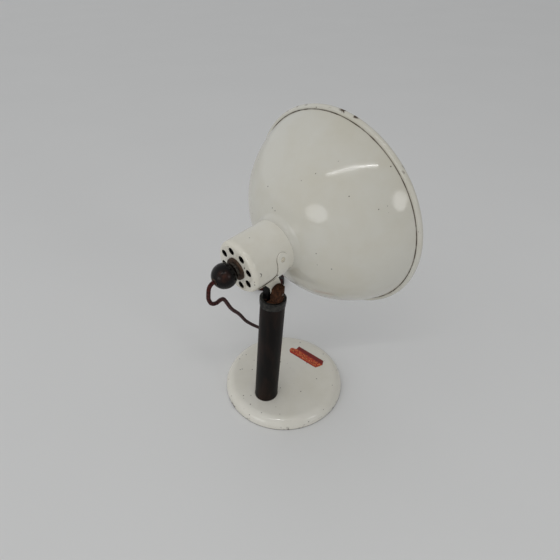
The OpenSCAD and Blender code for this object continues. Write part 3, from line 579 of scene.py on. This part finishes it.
# Vulcanised fibre: brown, matt and a little mottled
fibre = grained(
    "vulcanised_fibre_brown", 3.5, "#2f241c", "#5c4738", (0.6, 0.75), 0.15, {"Specular IOR Level": 0.25}
)
dress(fibre, "friction_washers", "fibre_disc", "cord_bush")

# ---- Ball handle ----
# Ball turned from phenolic rod and screwed on the threaded tube behind the housing. The flex
# comes out of it, and it is what a hand takes to tilt the head.

# Phenolic: black and polished by use, with its brown filler showing where it has worn
BALL_R = 15 * MM
WORN_WAY = Vector((-0.52, -0.65, 0.55))
phenolic, t = finish_named("black_phenolic_ball")
place = add(t, "TexCoord").outputs["Object"]
worn = add(t, "TexNoise", {"Vector": place, "Scale": 1 / (6 * MM), "Detail": 4})
patch_at = (head_point(-17.2 * MM) + BALL_R * WORN_WAY) / MM
near = add(t, "MapRange", {
    "Value": away(t, place, patch_at), "From Min": 9 * MM, "From Max": 3 * MM,
})
blotches = add(t, "MapRange", {"Value": worn.outputs[0], "From Min": 0.3, "From Max": 0.6})
patch = add(t, "Math", {0: near.outputs[0], 1: blotches.outputs[0]}, operation="MULTIPLY")
tone = add(t, "Mix", {0: patch.outputs[0], 6: paint("#0b0808"), 7: paint("#38211a")}, data_type="RGBA")
surface(t, add(t, "BsdfPrincipled", {
    "Base Color": tone.outputs[2], "Specular IOR Level": 0.16,
    "Normal": add(t, "Bump", {"Height": worn.outputs[0], "Distance": 0.05 * MM, "Strength": 0.3}).outputs[0],
    "Roughness": add(t, "MapRange", {"Value": worn.outputs[0], "To Min": 0.12, "To Max": 0.38}).outputs[0],
}))
dress(phenolic, "ball_handle")

# ---- Threaded tube, nuts, screws and bracket ----
# Small steel parts, turned or pressed, that hold the head and the base together from inside.

# Zinc plate gone dull: pale grey metal with a cloudy shine
zinc = grained("dull_zinc_plate", 5, "#8d8f8e", "#b3b2a9", (0.32, 0.5), 0.05, {"Metallic": 1.0})
dress(zinc, "nipple", "lock_nut", "holder_bracket", "bracket_screws")
dress(zinc, "post_plug", "base_bolt", "base_washer", "plug_screw")

# ---- Lamp holder ----
# Porcelain body screwed to the bracket inside the housing, with a brass screw shell, a centre
# contact and two terminals that take the leads.

# Glazed porcelain: white and wet-looking, with painted shade darkening the end towards the vents
BACK_SHADE_ENDS = (52 * MM, 40 * MM)
glaze, t = finish_named("glazed_porcelain_shaded_back")
place = add(t, "TexCoord").outputs["Object"]
pool = add(t, "TexNoise", {"Vector": place, "Scale": 1 / (8 * MM), "Detail": 3})
white = add(t, "Mix", {0: pool.outputs[0], 6: paint("#ece8dc"), 7: paint("#ddd7c6")}, data_type="RGBA")
back_end = add(t, "SeparateXYZ", {0: head_place(t, place)[0]}).outputs[0]
# painted shade: the holder darkens towards its back end, deep inside the housing
back_shade = add(t, "MapRange", {"Value": back_end, "From Min": BACK_SHADE_ENDS[0], "From Max": BACK_SHADE_ENDS[1]})
tone = add(t, "Mix", {0: back_shade.outputs[0], 6: white.outputs[2], 7: paint("#1e1713")}, data_type="RGBA")
surface(t, add(t, "BsdfPrincipled", {
    "Base Color": tone.outputs[2], "Roughness": 0.15, "IOR": 1.55,
    "Normal": add(t, "Bump", {"Height": pool.outputs[0], "Distance": 0.1 * MM, "Strength": 0.3}).outputs[0],
}))
dress(glaze, "holder_body")

# Brass, stamped and never lacquered: yellow metal gone dull
brass = grained("plain_brass_dulled", 4, "#8a6a35", "#c8a765", (0.25, 0.45), 0.05, {"Metallic": 1.0})
dress(brass, "screw_shell", "centre_contact", "terminal_screws", "plug_pins", "lamp_cap")

# Cotton-covered wire: matt red-brown with a fine tooth
cloth = grained("cloth_covered_lead", 0.6, "#4e1d17", "#96503f", (0.85, 0.95), 0.2)
dress(cloth, "lead_wires")

# ---- Lamp ----
# Round heat lamp with a screw cap: a blown bulb, a glass stem inside it, and a straight heater
# wire on two supports that spread from the stem.

# Soda-lime glass: clear, with a faint brown bloom and a film of dust
clear, t = finish_named("clear_lamp_glass")
place = add(t, "TexCoord").outputs["Object"]
bloom = add(t, "TexNoise", {"Vector": place, "Scale": 1 / (30 * MM), "Detail": 3})
tone = add(t, "Mix", {0: bloom.outputs[0], 6: paint("#f4efe8"), 7: paint("#d9cbb8")}, data_type="RGBA")
film = add(t, "TexNoise", {"Vector": place, "Scale": 1 / (15 * MM), "Detail": 4})
surface(t, add(t, "BsdfPrincipled", {
    "Base Color": tone.outputs[2], "IOR": 1.5, "Transmission Weight": 0.92,
    "Normal": add(t, "Bump", {"Height": film.outputs[0], "Distance": 0.1 * MM, "Strength": 0.2}).outputs[0],
    "Roughness": add(t, "MapRange", {"Value": film.outputs[0], "To Min": 0.04, "To Max": 0.16}).outputs[0],
}))
dress(clear, "lamp_glass", "lamp_stem")

# Resistance wire that has been hot: dark oxide on a tight winding
heater, t = finish_named("oxidised_heater_wire")
place = add(t, "TexCoord").outputs["Object"]
coils = add(t, "TexWave", {"Vector": place, "Scale": 1 / (4 * MM)}, bands_direction="Y")
tone = add(t, "Mix", {0: coils.outputs[1], 6: paint("#2e2b29"), 7: paint("#6b655d")}, data_type="RGBA")
surface(t, add(t, "BsdfPrincipled", {
    "Base Color": tone.outputs[2], "Metallic": 0.8, "Roughness": 0.55,
    "Normal": add(t, "Bump", {"Height": coils.outputs[1], "Distance": 0.3 * MM}).outputs[0],
}))
dress(heater, "lamp_filament")

# ---- Plug and tie ----
# Moulded two-pin plug, closed with one screw. It lies on the coil, whose turns a rubber band
# holds together at one place.

# Moulded phenolic: dark brown with a mottled gloss
moulded = grained("moulded_phenolic_brown", 6, "#1d1410", "#3c271c", (0.2, 0.4), 0.05, {"IOR": 1.6})
dress(moulded, "plug_body")

# Vulcanised rubber: black and matt
rubber = grained("black_rubber_band", 3, "#1c1b1b", "#3a3836", (0.7, 0.85), 0.1)
dress(rubber, "cord_tie")

# ---- Floor and light ----
# A pale table top in a soft room that is brighter on the left. Two windows give the enamel its
# round highlights, and a ceiling tube gives it the long streak.

# Painted board: plain and half matt, with a very faint haze
TABLE_HALF = 6
table_top, t = finish_named("pale_table_top")
place = add(t, "TexCoord").outputs["Object"]
haze = add(t, "TexNoise", {"Vector": place, "Scale": 3, "Detail": 3})
tone = add(t, "Mix", {0: haze.outputs[0], 6: paint("#e5e5e4"), 7: paint("#e1e1e0")}, data_type="RGBA")
surface(t, add(t, "BsdfPrincipled", {"Base Color": tone.outputs[2], "Roughness": 0.5}))
floor_mesh = bpy.data.meshes.new("table")
corners = [(x * TABLE_HALF, y * TABLE_HALF, 0) for x, y in ((-1, -1), (1, -1), (1, 1), (-1, 1))]
floor_mesh.from_pydata(corners, [], [(0, 1, 2, 3)])
table = bpy.data.objects.new("table", floor_mesh)
table.data.materials.append(table_top)
bpy.context.scene.collection.objects.link(table)

world = bpy.data.worlds.new("room")
world.use_nodes = True
t = world.node_tree
DIM_WAY = (0.72, -0.69, 0)
seen = add(t, "TexCoord").outputs["Generated"]
way = add(t, "VectorMath", {0: seen, 1: DIM_WAY}, operation="DOT_PRODUCT")
falls = add(t, "MapRange", {"Value": way.outputs["Value"], "From Min": -1, "To Min": 0.76, "To Max": 0.27})
t.links.new(falls.outputs[0], t.nodes["Background"].inputs[1])
t.nodes["Background"].inputs[0].default_value = (0.98, 0.99, 1.0, 1)
bpy.context.scene.world = world
bpy.context.scene.view_settings.view_transform = "Standard"


def lamp(name, place, towards, width, height, watts, round_ends=True):
    """A flat light that faces a point, its width kept level."""
    light = bpy.data.lights.new(name, "AREA")
    light.shape = "ELLIPSE" if round_ends else "RECTANGLE"
    light.size, light.size_y, light.energy = width, height, watts
    made = bpy.data.objects.new(name, light)
    made.location = place
    made.rotation_euler = (Vector(towards) - Vector(place)).to_track_quat("-Z", "Y").to_euler()
    bpy.context.scene.collection.objects.link(made)
    return made


SHADE_MIDDLE = (0, 0, 0.3)
lamp("window_left", (-2.49, -0.24, 0.6), SHADE_MIDDLE, 1.1, 0.8, 4.6)
lamp("window_right", (0.16, -2.49, 1.11), SHADE_MIDDLE, 0.65, 0.85, 4.6)
ceiling_tube = lamp("ceiling_tube", (-1.02, -0.73, 2.32), (-1.02, -0.73, 0), 2.2, 0.05, 8, False)
ceiling_tube.rotation_euler = (0, 0, math.radians(-35))
